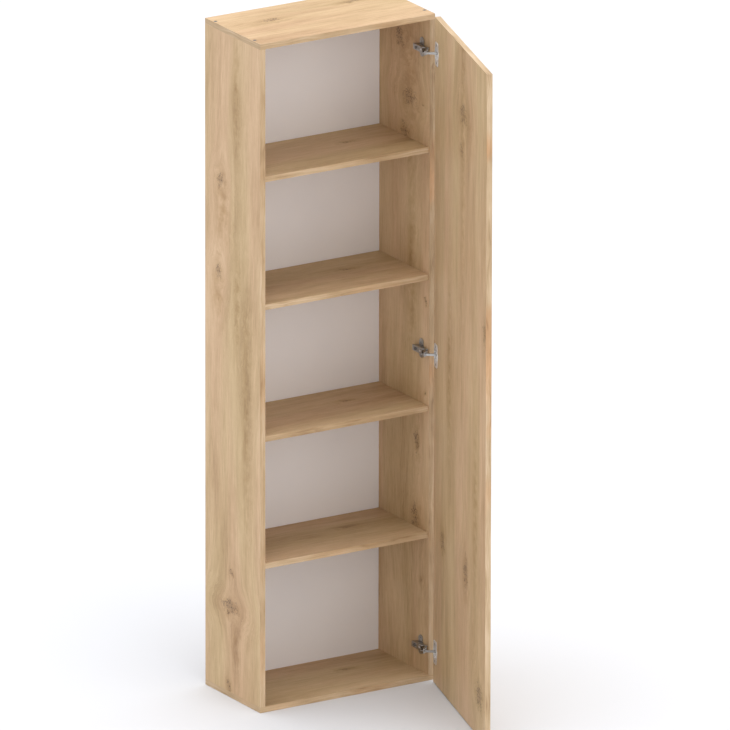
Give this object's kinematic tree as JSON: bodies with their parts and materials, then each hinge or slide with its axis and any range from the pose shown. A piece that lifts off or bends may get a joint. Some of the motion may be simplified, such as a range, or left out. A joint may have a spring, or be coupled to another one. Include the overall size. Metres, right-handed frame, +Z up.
{
  "type": "hanging wall cabinet",
  "caption": "Tall narrow hanging wall cabinet with one full-height overlay door on concealed hinges, fixed-height compartments and a recessed back.",
  "frame": {"origin": "on the wall plane, midway across the cabinet, level with its underside", "axes": "+X to the right seen from the front, +Y into the wall, +Z up; the door opens towards -Y"},
  "size_m": [0.5261, 0.7928, 1.8],
  "materials": {
    "oak_board": "matt oak decor",
    "white_hardboard": "off-white lacquered hardboard",
    "nickel_steel": "nickel plated",
    "zinc_steel": "zinc plated"
  },
  "bodies": {
    "carcase": {"left_side": "oak_board", "right_side": "oak_board", "top_board": "oak_board", "bottom_board": "oak_board", "back_panel": "white_hardboard", "shelf_1": "oak_board", "shelf_2": "oak_board", "shelf_3": "oak_board", "shelf_4": "oak_board", "confirmat_top_left_front": "zinc_steel", "confirmat_top_left_rear": "zinc_steel", "confirmat_top_right_front": "zinc_steel", "confirmat_top_right_rear": "zinc_steel", "confirmat_bottom_left_front": "zinc_steel", "confirmat_bottom_left_rear": "zinc_steel", "confirmat_bottom_right_front": "zinc_steel", "confirmat_bottom_right_rear": "zinc_steel", "shelf_1_pin_left_front": "nickel_steel", "shelf_1_pin_left_rear": "nickel_steel", "shelf_1_pin_right_front": "nickel_steel", "shelf_1_pin_right_rear": "nickel_steel", "shelf_2_pin_left_front": "nickel_steel", "shelf_2_pin_left_rear": "nickel_steel", "shelf_2_pin_right_front": "nickel_steel", "shelf_2_pin_right_rear": "nickel_steel", "shelf_3_pin_left_front": "nickel_steel", "shelf_3_pin_left_rear": "nickel_steel", "shelf_3_pin_right_front": "nickel_steel", "shelf_3_pin_right_rear": "nickel_steel", "shelf_4_pin_left_front": "nickel_steel", "shelf_4_pin_left_rear": "nickel_steel", "shelf_4_pin_right_front": "nickel_steel", "shelf_4_pin_right_rear": "nickel_steel", "wall_hanger_left": "zinc_steel", "wall_hanger_right": "zinc_steel", "hanger_screw_left_lower": "zinc_steel", "hanger_screw_left_upper": "zinc_steel", "hanger_screw_right_lower": "zinc_steel", "hanger_screw_right_upper": "zinc_steel", "hinge_upper_plate": "nickel_steel", "hinge_middle_plate": "nickel_steel", "hinge_lower_plate": "nickel_steel", "hinge_upper_arm": "nickel_steel", "hinge_middle_arm": "nickel_steel", "hinge_lower_arm": "nickel_steel", "hinge_upper_fixing_screw": "zinc_steel", "hinge_middle_fixing_screw": "zinc_steel", "hinge_lower_fixing_screw": "zinc_steel"},
    "door": {"door": "oak_board", "hinge_upper_cup": "nickel_steel", "hinge_middle_cup": "nickel_steel", "hinge_lower_cup": "nickel_steel"},
    "arm_links": {"hinge_upper_arm_link": "nickel_steel", "hinge_middle_arm_link": "nickel_steel", "hinge_lower_arm_link": "nickel_steel"},
    "cup_links": {"hinge_upper_cup_link": "nickel_steel", "hinge_middle_cup_link": "nickel_steel", "hinge_lower_cup_link": "nickel_steel"}
  },
  "joints": [
    {"name": "door_hinge", "type": "hinge", "parent": "carcase", "child": "door", "pos_m": [0.2658, -0.29, 0.9], "axis": [0, 0, 1], "range_deg": [-73, 32]},
    {"name": "arm_link_pivot", "type": "hinge", "parent": "carcase", "child": "arm_links", "pos_m": [0.2405, -0.2708, 0.9], "axis": [0, 0, 1], "range_deg": [-74, 33]},
    {"name": "cup_link_pivot", "type": "hinge", "parent": "door", "child": "cup_links", "pos_m": [0.24843, -0.30644, 0.9], "axis": [0, 0, 1], "range_deg": [-33, 74]}
  ],
  "couplings": [
    {"joint": "arm_link_pivot", "follows": "door_hinge", "ratio": 1},
    {"joint": "cup_link_pivot", "follows": "door_hinge", "ratio": -1}
  ]
}
